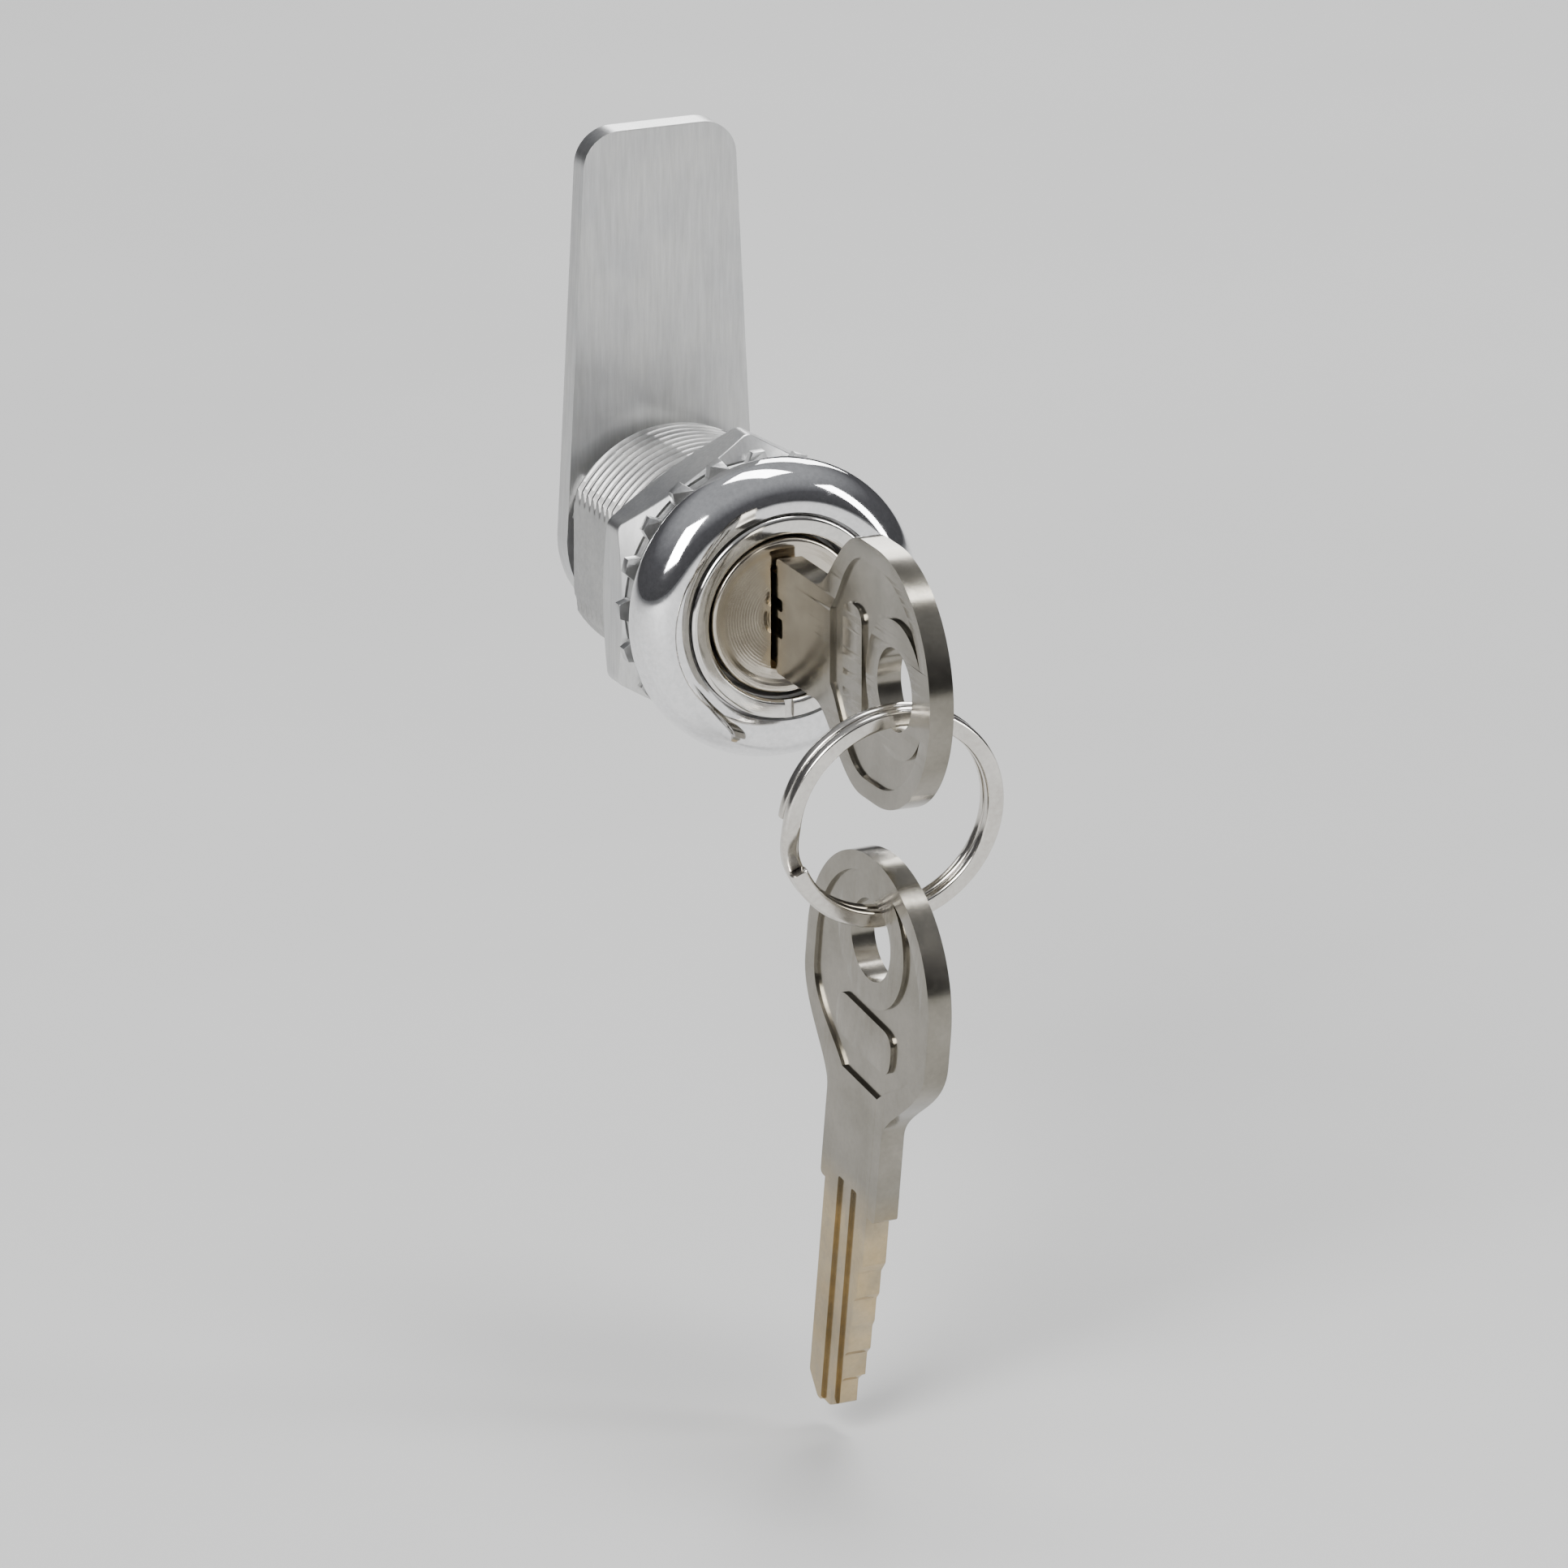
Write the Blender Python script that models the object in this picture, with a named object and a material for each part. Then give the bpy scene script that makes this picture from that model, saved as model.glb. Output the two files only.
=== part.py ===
"""Cam lock for sheet-metal panels, with its inserted key, a split ring and a hanging spare key.

The lock's axis is Y and its front faces -Y; +Z is up. The origin lies on the axis, in the plane
where the bezel's back rim meets the front of the panel. The lock is drawn locked: the cam points
up, behind the frame's edge, and the key stands upright in its slot.

All sizes below are in millimetres. MM turns them into metres when a mesh is made.
"""

import math

import bmesh
import bpy
from mathutils import Matrix, Vector
from mathutils.geometry import tessellate_polygon

MM = 0.001
GAP = 0.3  # room left between neighbouring solids

# Panel and barrel
PANEL = 2.3  # thickness of the sheet that the lock clamps
BARREL_R = 9.5
BARREL_LENGTH = 20.0
FLAT_HALF = 8.1  # half of the distance across the barrel's two flats
HEAD_R = 10.3
HEAD_DEPTH = 2.6
BORE_R = 6.1
COUNTERBORE_R = 6.7

# Bezel and front ring
BEZEL_R = 12.0
BEZEL_DEPTH = 3.7
LIP_OUTER_R = 8.2
LIP_INNER_R = 6.7
LIP_FRONT = -3.9
LIP_BACK = -HEAD_DEPTH - GAP
MARK_HALF = 0.35  # index mark
MARK_DEPTH = 0.25

# Plug
PLUG_R = 5.8
PLUG_HEAD_R = 6.3
PLUG_HEAD_FRONT = -1.8
PLUG_HEAD_BACK = -0.6
FACE_FRONT = -3.3
FACE_BACK = PLUG_HEAD_FRONT - GAP
SHANK_HALF = 3.1
SHANK_END = 23.3
SCREW_HOLE_R = 2.15
SCREW_HOLE_BOTTOM = 18.4

# Wafers and their springs
WAFER_COUNT = 5
WAFER_FIRST = 2.6
WAFER_PITCH = 2.6
WAFER_THICK = 1.1
WAFER_LEFT = -3.2
WAFER_RIGHT = 2.2
WAFER_ARC_R = 5.4
WAFER_LIFT = 0.4
LUG_RIGHT = 4.1
LUG_TOP = -1.6
LUG_BOTTOM = -2.6
POCKET_RIGHT = 4.4
POCKET_TOP = 2.9
SPRING_WIRE_R = 0.15
SPRING_COIL_R = 0.5
SPRING_X = 3.3
SPRING_TURNS = 5

# Parts behind the panel
WASHER_R = 11.7
WASHER_ROOT_R = 10.9
WASHER_THICK = 0.8
NUT_THICK = 4.0
NUT_FLATS = 22.0
STOP_R = 6.5
STOP_THICK = 1.0
STOP_TAB_R = 7.9
STOP_TAB_HALF = 1.5
LUG_RING_INNER = 6.9
LUG_RING_OUTER = 8.0
LUG_RING_HEIGHT = 1.2
LUG_SPAN_DEG = 24.0
CAM_THICK = 2.0
CAM_HUB_R = 8.0
CAM_TIP_HALF = 6.5
CAM_REACH = 33.0
CAM_CORNER_R = 3.0
SPLIT_WASHER_R = 4.2
SPLIT_WASHER_THICK = 1.0
SCREW_R = 1.85
SCREW_HEAD_R = 3.7
SCREW_HEAD_THICK = 2.6
CROSS_HALF = 0.4  # the cross recess
CROSS_REACH = 1.9
CROSS_DEPTH = 1.4

# Keys
KEY_THICK = 2.0
BLADE_LENGTH = 18.6
BLADE_SPINE = -3.6
BLADE_TOP = 3.6
CUT_TOPS = (3.0, 2.6, 2.3, 1.8, 1.2)  # height of the blade under each wafer
CUT_START = -0.9  # a cut's flat bottom, from the wafer's middle
CUT_END = 1.1
NECK_LENGTH = 7.5
NECK_LOW = -4.4
NECK_HIGH = 4.9
NECK_BEND = 10.0  # the S-curve between neck and bow leaves the neck towards here
BOW_BEND = 12.5  # and comes into the bow's side from here
BOW_R = 10.3
BOW_CENTRE = 19.2  # from the shoulder
BOW_SIDE_END = 16.5  # where the bow's straight sides turn in towards the neck
BOW_Z = 0.7
HOLE_R = 3.3
HOLE_FROM_SHOULDER = 22.8
KEYHOLE_HALF_HEIGHT = 4.2
KEY_SHOULDER = FACE_FRONT - GAP

# Split ring and the hanging key
RING_R = 8.5  # to the middle of the wire
RING_HALF_WALL = 0.7
RING_HALF_WIDTH = 0.95
WIRE_IN_HOLE = 2.0  # from a bow hole's centre to the middle of the wire that lies in it
RING_X = -0.8  # the ring hangs from the near edge of the bow's hole
RING_TILT_DEG = 8.0  # from the vertical, towards the panel
SPARE_TILT_DEG = 10.0
SPARE_YAW_DEG = 3.5

MATERIALS = {
    "chrome": ((0.80, 0.81, 0.83), 0.08, 1.0),
    "nickel": ((0.62, 0.59, 0.53), 0.28, 1.0),
    "zinc": ((0.46, 0.46, 0.45), 0.42, 1.0),
    "steel": ((0.55, 0.55, 0.54), 0.34, 1.0),
    "brass": ((0.70, 0.55, 0.28), 0.35, 1.0),
}


def make_materials():
    """One Principled material for each metal."""
    made = {}
    for name, (colour, roughness, metallic) in MATERIALS.items():
        material = bpy.data.materials.new(name)
        material.use_nodes = True
        shader = material.node_tree.nodes["Principled BSDF"]
        shader.inputs["Base Color"].default_value = (*colour, 1.0)
        shader.inputs["Roughness"].default_value = roughness
        shader.inputs["Metallic"].default_value = metallic
        made[name] = material
    return made


# Mesh makers


def at(axis, a, b, t):
    """The point with in-plane coordinates a, b and height t along the axis."""
    return {"X": (t, a, b), "Y": (a, t, b)}[axis]


def turned(profile, segments=48, solid=False):
    """A solid of revolution about Y from (radius, y) points: a closed loop, or a capped solid."""
    bm = bmesh.new()
    angles = [2 * math.pi * k / segments for k in range(segments)]
    rings = []
    for radius, y in profile:
        corners = [(radius * math.sin(t), y, radius * math.cos(t)) for t in angles]
        rings.append([bm.verts.new(corner) for corner in corners])
    following_rings = rings[1:] if solid else rings[1:] + rings[:1]
    for ring, following in zip(rings, following_rings):
        for k in range(segments):
            n = (k + 1) % segments
            bm.faces.new((ring[k], ring[n], following[n], following[k]))
    if solid:
        bm.faces.new(rings[0])
        bm.faces.new(rings[-1])
    return bm


def plate(outline, low, high, axis, holes=()):
    """A flat plate: the outline less its holes, between two heights along an axis."""
    loops = [list(outline)] + [list(hole) for hole in holes]
    points = [point for loop in loops for point in loop]
    bm = bmesh.new()
    near = [bm.verts.new(at(axis, a, b, low)) for a, b in points]
    far = [bm.verts.new(at(axis, a, b, high)) for a, b in points]
    pieces = [range(len(points))]
    if holes:
        pieces = tessellate_polygon([[Vector((a, b, 0)) for a, b in loop] for loop in loops])
    for corners in pieces:
        bm.faces.new([near[k] for k in corners])
        bm.faces.new([far[k] for k in corners])
    start = 0
    for loop in loops:
        for k in range(len(loop)):
            i = start + k
            j = start + (k + 1) % len(loop)
            bm.faces.new((near[i], near[j], far[j], far[i]))
        start += len(loop)
    return bm


def coil(radius, wire, turns, low, high, steps=9, sides=5):
    """A compression spring about Z, standing between two heights."""
    bm = bmesh.new()
    count = turns * steps
    rings = []
    for k in range(count + 1):
        angle = 2 * math.pi * k / steps
        z = low + wire + (high - low - 2 * wire) * k / count
        ring = []
        for s in range(sides):
            around = 2 * math.pi * s / sides
            r = radius + wire * math.cos(around)
            height = z + wire * math.sin(around)
            ring.append(bm.verts.new((r * math.cos(angle), r * math.sin(angle), height)))
        rings.append(ring)
    for ring, following in zip(rings, rings[1:]):
        for s in range(sides):
            n = (s + 1) % sides
            bm.faces.new((ring[s], ring[n], following[n], following[s]))
    bm.faces.new(rings[0])
    bm.faces.new(rings[-1])
    return bm


def circle(radius, count, centre=(0.0, 0.0)):
    """The corners of a regular polygon inside a circle."""
    angles = [2 * math.pi * k / count for k in range(count)]
    return [(centre[0] + radius * math.sin(t), centre[1] + radius * math.cos(t)) for t in angles]


def arc(centre, radius, start_deg, end_deg, count):
    """Points along an arc, both ends included, angles measured from the first axis."""
    angles = [math.radians(start_deg + (end_deg - start_deg) * k / count) for k in range(count + 1)]
    return [(centre[0] + radius * math.cos(t), centre[1] + radius * math.sin(t)) for t in angles]


def rectangle(left, right, bottom, top):
    return [(left, bottom), (right, bottom), (right, top), (left, top)]


def clipped_square(half):
    """A square with its corners cut off, as on a milled shank."""
    inner = 0.8 * half
    return [
        (half, -inner), (half, inner), (inner, half), (-inner, half),
        (-half, inner), (-half, -inner), (-inner, -half), (inner, -half),
    ]


def joined(*meshes):
    """Several separate solids in one mesh."""
    whole = bmesh.new()
    for bm in meshes:
        part = bpy.data.meshes.new("part")
        bm.to_mesh(part)
        bm.free()
        whole.from_mesh(part)
        bpy.data.meshes.remove(part)
    return whole


def add_object(name, bm, material=None):
    """Link a mesh made in millimetres to the scene, in metres."""
    bmesh.ops.recalc_face_normals(bm, faces=bm.faces)
    mesh = bpy.data.meshes.new(name)
    bm.to_mesh(mesh)
    bm.free()
    mesh.transform(Matrix.Scale(MM, 4))
    obj = bpy.data.objects.new(name, mesh)
    bpy.context.collection.objects.link(obj)
    if material is not None:
        mesh.materials.append(material)
    mesh.shade_smooth()
    mesh.set_sharp_from_angle(angle=math.radians(30))
    return obj


def add_boolean(obj, operation, bm):
    """Cut a hidden tool from an object, or join it on."""
    tool = add_object(f"{obj.name}_tool", bm)
    tool.hide_render = True
    tool.display_type = "WIRE"
    modifier = obj.modifiers.new(operation.lower(), "BOOLEAN")
    modifier.operation = operation
    modifier.object = tool
    return tool


# The fixed lock body


def lock_housing(metal):
    """Threaded barrel with two flats, a head under the bezel and two stops at the back."""
    profile = [
        (COUNTERBORE_R, -HEAD_DEPTH),
        (HEAD_R - 0.7, -HEAD_DEPTH),
        (HEAD_R, -HEAD_DEPTH + 0.7),
        (HEAD_R, 0.0),
        (BARREL_R, 0.0),
        (BARREL_R, BARREL_LENGTH - 0.6),
        (BARREL_R - 0.6, BARREL_LENGTH),
        (BORE_R, BARREL_LENGTH),
        (BORE_R, PLUG_HEAD_BACK + GAP),
        (COUNTERBORE_R, PLUG_HEAD_BACK + GAP),
    ]
    housing = add_object("housing", turned(profile), metal["zinc"])
    past = BARREL_LENGTH + 5.0
    right = plate(rectangle(FLAT_HALF, BEZEL_R, -BEZEL_R, BEZEL_R), 0.0, past, "Y")
    left = plate(rectangle(-BEZEL_R, -FLAT_HALF, -BEZEL_R, BEZEL_R), 0.0, past, "Y")
    add_boolean(housing, "DIFFERENCE", joined(right, left))
    channel_half = BORE_R + 1.6
    channel = rectangle(WAFER_LEFT - 0.6, WAFER_RIGHT + 0.6, -channel_half, channel_half)
    add_boolean(housing, "DIFFERENCE", plate(channel, 1.0, BARREL_LENGTH - 1.8, "Y"))
    add_boolean(housing, "UNION", joined(*rear_stops()))
    return housing


def rear_stops():
    """The two lugs that the stop washer's tab meets, a quarter turn apart."""
    tab_deg = math.degrees(math.atan2(STOP_TAB_HALF + GAP, LUG_RING_INNER)) + 0.5
    lugs = []
    for start, end in (
        (-90 + tab_deg, -90 + tab_deg + LUG_SPAN_DEG),
        (180 - tab_deg - LUG_SPAN_DEG, 180 - tab_deg),
    ):
        outline = arc((0, 0), LUG_RING_OUTER, start, end, 4)
        outline += arc((0, 0), LUG_RING_INNER, end, start, 4)
        lugs.append(plate(outline, BARREL_LENGTH - 1.0, BARREL_LENGTH + LUG_RING_HEIGHT, "Y"))
    return lugs


def bezel_cover(metal):
    """The domed ring that shows on the panel."""
    dome_centre_r = LIP_OUTER_R + GAP
    width = BEZEL_R - dome_centre_r
    rim = 0.7
    dome = []
    for k in range(8):
        t = math.radians(90 * k / 7)
        dome.append((dome_centre_r + width * math.cos(t), -rim - (BEZEL_DEPTH - rim) * math.sin(t)))
    profile = [(BEZEL_R, 0.0)] + dome
    profile += [
        (dome_centre_r, LIP_BACK),
        (HEAD_R - 0.6, LIP_BACK),
        (HEAD_R + GAP, -HEAD_DEPTH + 0.6),
        (HEAD_R + GAP, 0.0),
    ]
    return add_object("bezel_cover", turned(profile), metal["chrome"])


def face_ring(metal):
    """The narrow bright ring around the plug, with an index mark at six o'clock."""
    profile = [
        (LIP_INNER_R, LIP_BACK),
        (LIP_OUTER_R, LIP_BACK),
        (LIP_OUTER_R, LIP_FRONT + 0.4),
        (LIP_OUTER_R - 0.4, LIP_FRONT),
        (LIP_INNER_R + 0.3, LIP_FRONT),
        (LIP_INNER_R, LIP_FRONT + 0.3),
    ]
    ring = add_object("face_ring", turned(profile), metal["chrome"])
    mark = rectangle(-MARK_HALF, MARK_HALF, -LIP_OUTER_R - 1, -LIP_INNER_R + 0.5)
    notch = plate(mark, LIP_FRONT - 1, LIP_FRONT + MARK_DEPTH, "Y")
    add_boolean(ring, "DIFFERENCE", notch)
    return ring


def tooth_washer(metal):
    """The toothed lock washer between the panel and the nut."""
    teeth = 20
    tooth = (WASHER_ROOT_R, WASHER_R, WASHER_R, WASHER_ROOT_R)
    outline = []
    for k in range(teeth):
        middle = 2 * math.pi * k / teeth
        for offset, radius in zip((-0.25, -0.1, 0.15, 0.3), tooth):
            t = middle + offset * 2 * math.pi / teeth
            outline.append((radius * math.sin(t), radius * math.cos(t)))
    hole = circle(BARREL_R + GAP, 40)
    bm = plate(outline, PANEL, PANEL + WASHER_THICK, "Y", [hole])
    return add_object("tooth_washer", bm, metal["steel"])


def mounting_nut(metal):
    """The hexagon nut that clamps the lock to the panel."""
    front = PANEL + WASHER_THICK + GAP
    corner_r = NUT_FLATS / 2 / math.cos(math.pi / 6)
    bm = plate(circle(corner_r, 6), front, front + NUT_THICK, "Y", [circle(BARREL_R + GAP, 40)])
    return add_object("mounting_nut", bm, metal["steel"])


# The turning plug


def wafer_y(number):
    """The middle of a wafer along the lock's axis, counted from the front."""
    return WAFER_FIRST + WAFER_PITCH * number


def lock_plug(metal):
    """Plug with its keyway, five wafer slots with spring pockets, and a shank for the cam."""
    profile = [
        (PLUG_HEAD_R, PLUG_HEAD_FRONT),
        (PLUG_HEAD_R, PLUG_HEAD_BACK),
        (PLUG_R, PLUG_HEAD_BACK),
        (PLUG_R, BARREL_LENGTH),
    ]
    plug = add_object("plug", turned(profile, 40, solid=True), metal["brass"])
    shank = plate(clipped_square(SHANK_HALF), BARREL_LENGTH - 0.5, SHANK_END, "Y")
    add_boolean(plug, "UNION", shank)
    keyway_half = KEY_THICK / 2 + GAP
    keyway = rectangle(-keyway_half, keyway_half, BLADE_SPINE - GAP, BLADE_TOP + GAP)
    keyway_end = KEY_SHOULDER + BLADE_LENGTH + 1
    add_boolean(plug, "DIFFERENCE", plate(keyway, PLUG_HEAD_FRONT - 2, keyway_end, "Y"))
    left = WAFER_LEFT - GAP
    right = WAFER_RIGHT + GAP
    slot = [
        (left, -7), (right, -7), (right, LUG_BOTTOM - GAP), (POCKET_RIGHT, LUG_BOTTOM - GAP),
        (POCKET_RIGHT, POCKET_TOP), (right, POCKET_TOP), (right, 7), (left, 7),
    ]
    half = WAFER_THICK / 2 + GAP
    slots = [plate(slot, wafer_y(k) - half, wafer_y(k) + half, "Y") for k in range(WAFER_COUNT)]
    add_boolean(plug, "DIFFERENCE", joined(*slots))
    hole = plate(circle(SCREW_HOLE_R, 20), SCREW_HOLE_BOTTOM, SHANK_END + 2, "Y")
    add_boolean(plug, "DIFFERENCE", hole)
    return plug


def plug_face(metal):
    """The plated cap on the plug's front, with the keyhole."""
    profile = [
        (PLUG_HEAD_R, FACE_BACK),
        (PLUG_HEAD_R, FACE_FRONT + 0.25),
        (PLUG_HEAD_R - 0.25, FACE_FRONT),
    ]
    face = add_object("plug_face", turned(profile, 40, solid=True), metal["nickel"])
    half = KEY_THICK / 2 + GAP
    tall = KEYHOLE_HALF_HEIGHT
    keyhole = plate(rectangle(-half, half, -tall, tall), FACE_FRONT - 2, FACE_BACK + 2, "Y")
    add_boolean(face, "DIFFERENCE", keyhole)
    return face


def wafer(metal, number):
    """A flat tumbler with the key's window and a lug for its spring."""
    top_left = 180 - math.degrees(math.acos(-WAFER_LEFT / WAFER_ARC_R))
    top_right = math.degrees(math.acos(WAFER_RIGHT / WAFER_ARC_R))
    outline = arc((0, 0), WAFER_ARC_R, top_right, top_left, 5)
    outline += arc((0, 0), WAFER_ARC_R, -top_left, -top_right, 5)
    outline += [
        (WAFER_RIGHT, LUG_BOTTOM),
        (LUG_RIGHT, LUG_BOTTOM),
        (LUG_RIGHT, LUG_TOP),
        (WAFER_RIGHT, LUG_TOP),
    ]
    half = KEY_THICK / 2 + GAP
    window = rectangle(-half, half, BLADE_SPINE - GAP - WAFER_LIFT, CUT_TOPS[number] + GAP)
    y = wafer_y(number)
    bm = plate(outline, y - WAFER_THICK / 2, y + WAFER_THICK / 2, "Y", [window])
    return add_object(f"wafer_{number + 1}", bm, metal["brass"])


def wafer_spring(metal, number):
    """The small spring that presses a wafer down on the key."""
    bm = coil(SPRING_COIL_R, SPRING_WIRE_R, SPRING_TURNS, LUG_TOP + GAP, POCKET_TOP - GAP)
    spring = add_object(f"wafer_spring_{number + 1}", bm, metal["steel"])
    spring.location = Vector((SPRING_X, wafer_y(number), 0)) * MM
    return spring


# The cam and what holds it


def stop_washer(metal):
    """The tabbed washer that limits the plug to a quarter turn."""
    edge = math.degrees(math.asin(STOP_TAB_HALF / STOP_R))
    outline = arc((0, 0), STOP_R, -90 + edge, 270 - edge, 30)
    tab_end = math.sqrt(STOP_TAB_R**2 - STOP_TAB_HALF**2)
    outline += [(-STOP_TAB_HALF, -tab_end), (STOP_TAB_HALF, -tab_end)]
    front = BARREL_LENGTH + GAP
    bm = plate(outline, front, front + STOP_THICK, "Y", [clipped_square(SHANK_HALF + GAP)])
    return add_object("stop_washer", bm, metal["steel"])


def cam_front():
    return BARREL_LENGTH + GAP + STOP_THICK + GAP


def lock_cam(metal):
    """The straight cam that reaches behind the frame's edge."""
    inner = CAM_TIP_HALF - CAM_CORNER_R
    top = CAM_REACH - CAM_CORNER_R
    outline = arc((0, 0), CAM_HUB_R, -180, 0, 14)
    outline += arc((inner, top), CAM_CORNER_R, 0, 90, 5)
    outline += arc((-inner, top), CAM_CORNER_R, 90, 180, 5)
    bm = plate(outline, cam_front(), cam_front() + CAM_THICK, "Y", [clipped_square(SHANK_HALF + GAP)])
    return add_object("cam", bm, metal["steel"])


def cam_lock_washer(metal):
    """The split spring washer under the screw's head."""
    front = cam_front() + CAM_THICK + GAP
    slit_half_deg = 5.0
    start = 45 + slit_half_deg
    end = 405 - slit_half_deg
    outline = arc((0, 0), SPLIT_WASHER_R, start, end, 24)
    outline += arc((0, 0), SCREW_R + GAP, end, start, 24)
    bm = plate(outline, front, front + SPLIT_WASHER_THICK, "Y")
    return add_object("cam_lock_washer", bm, metal["steel"])


def cam_screw(metal):
    """The pan-head screw that holds the cam on the plug."""
    seat = cam_front() + CAM_THICK + GAP + SPLIT_WASHER_THICK + GAP
    top = seat + SCREW_HEAD_THICK
    tip = SCREW_HOLE_BOTTOM + 0.5
    profile = [
        (SCREW_R - 0.4, tip),
        (SCREW_R, tip + 0.4),
        (SCREW_R, seat),
        (SCREW_HEAD_R, seat),
        (SCREW_HEAD_R, seat + 0.5 * SCREW_HEAD_THICK),
        (0.9 * SCREW_HEAD_R, seat + 0.8 * SCREW_HEAD_THICK),
        (0.6 * SCREW_HEAD_R, top),
    ]
    screw = add_object("cam_screw", turned(profile, 24, solid=True), metal["steel"])
    a = CROSS_HALF
    b = CROSS_REACH
    cross = [(a, a), (a, b), (-a, b), (-a, a), (-b, a), (-b, -a)]
    cross += [(-x, -z) for x, z in cross]
    add_boolean(screw, "DIFFERENCE", plate(cross, top - CROSS_DEPTH, top + 1, "Y"))
    return screw


# Keys and ring


def bezier(a, b, c, d, count):
    """Points along a cubic curve, both ends included."""
    points = []
    for k in range(count + 1):
        t = k / count
        s = 1 - t
        weights = (s**3, 3 * s * s * t, 3 * s * t * t, t**3)
        points.append(tuple(sum(w * p[i] for w, p in zip(weights, (a, b, c, d))) for i in (0, 1)))
    return points


def key_outline():
    """The key from the side: the shoulder at 0, the tip at +, the bow at -, the cuts on top."""
    first = WAFER_FIRST - KEY_SHOULDER
    blade_top = [(0.0, BLADE_TOP), (first + CUT_START - 1, BLADE_TOP)]
    for number, height in enumerate(CUT_TOPS):
        middle = first + WAFER_PITCH * number
        blade_top += [(middle + CUT_START, height), (middle + CUT_END, height)]
    tip = [(BLADE_LENGTH, -0.4), (BLADE_LENGTH, -2.0), (BLADE_LENGTH - 1.6, BLADE_SPINE)]
    low_neck = [(0.0, BLADE_SPINE), (0.0, NECK_LOW)]
    side_low = bezier(
        (-NECK_LENGTH, NECK_LOW), (-NECK_BEND, NECK_LOW),
        (-BOW_BEND, BOW_Z - BOW_R), (-BOW_SIDE_END, BOW_Z - BOW_R), 7,
    )
    bow = arc((-BOW_CENTRE, BOW_Z), BOW_R, 270, 90, 20)
    side_high = bezier(
        (-BOW_SIDE_END, BOW_Z + BOW_R), (-BOW_BEND, BOW_Z + BOW_R),
        (-NECK_BEND, NECK_HIGH), (-NECK_LENGTH, NECK_HIGH), 7,
    )
    return blade_top + tip + low_neck + side_low + bow + side_high + [(0.0, NECK_HIGH)]


def key_mesh():
    """The key in its own frame: origin at the bow hole's centre, the tip towards +Y."""
    shift_y = HOLE_FROM_SHOULDER
    outline = [(y + shift_y, z - BOW_Z) for y, z in key_outline()]
    return plate(outline, -KEY_THICK / 2, KEY_THICK / 2, "X", [circle(HOLE_R, 24)])


def place(*steps):
    """One matrix from moves (a vector in millimetres) and turns (an axis and degrees)."""
    whole = Matrix.Identity(4)
    for step in steps:
        if isinstance(step[0], str):
            whole = whole @ Matrix.Rotation(math.radians(step[1]), 4, step[0])
        else:
            whole = whole @ Matrix.Translation(Vector(step) * MM)
    return whole


def keys_and_ring(metal):
    """The key in the lock, the split ring through its bow and the spare key on the ring."""
    hole_y = KEY_SHOULDER - HOLE_FROM_SHOULDER
    inserted = add_object("inserted_key", key_mesh(), metal["nickel"])
    inserted.matrix_world = place((0, hole_y, BOW_Z))

    w = RING_HALF_WALL
    h = RING_HALF_WIDTH
    section = [(w, -0.5 * h), (w, 0.5 * h), (0.5 * w, h), (-0.5 * w, h)]
    section += [(-a, -b) for a, b in section]
    ring = add_object("split_ring", turned([(RING_R + a, b) for a, b in section], 40), metal["nickel"])
    hanger = ((RING_X, hole_y, BOW_Z - WIRE_IN_HOLE), ("X", RING_TILT_DEG), (0, 0, -RING_R))
    ring.matrix_world = place(*hanger)

    spare = bpy.data.objects.new("spare_key", inserted.data)
    bpy.context.collection.objects.link(spare)
    spare.matrix_world = place(
        *hanger, (0, 0, -RING_R), ("X", SPARE_TILT_DEG - RING_TILT_DEG), (0, 0, -WIRE_IN_HOLE),
        ("Z", SPARE_YAW_DEG), ("X", 90), ("Z", 180),
    )


def main():
    for old in list(bpy.data.objects):
        bpy.data.objects.remove(old, do_unlink=True)
    metal = make_materials()
    lock_housing(metal)
    bezel_cover(metal)
    face_ring(metal)
    tooth_washer(metal)
    mounting_nut(metal)
    lock_plug(metal)
    plug_face(metal)
    for number in range(WAFER_COUNT):
        wafer(metal, number)
        wafer_spring(metal, number)
    stop_washer(metal)
    lock_cam(metal)
    cam_lock_washer(metal)
    cam_screw(metal)
    keys_and_ring(metal)


main()
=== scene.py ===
"""The looks of the cam lock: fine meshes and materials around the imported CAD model.

Lengths in the mesh makers are millimetres; MM turns them into metres when an object is made.
The lock's axis is Y, its front faces -Y and +Z is up.
"""

import math

import bmesh
import bpy
from mathutils import Matrix, Vector
from mathutils.geometry import tessellate_polygon


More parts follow.
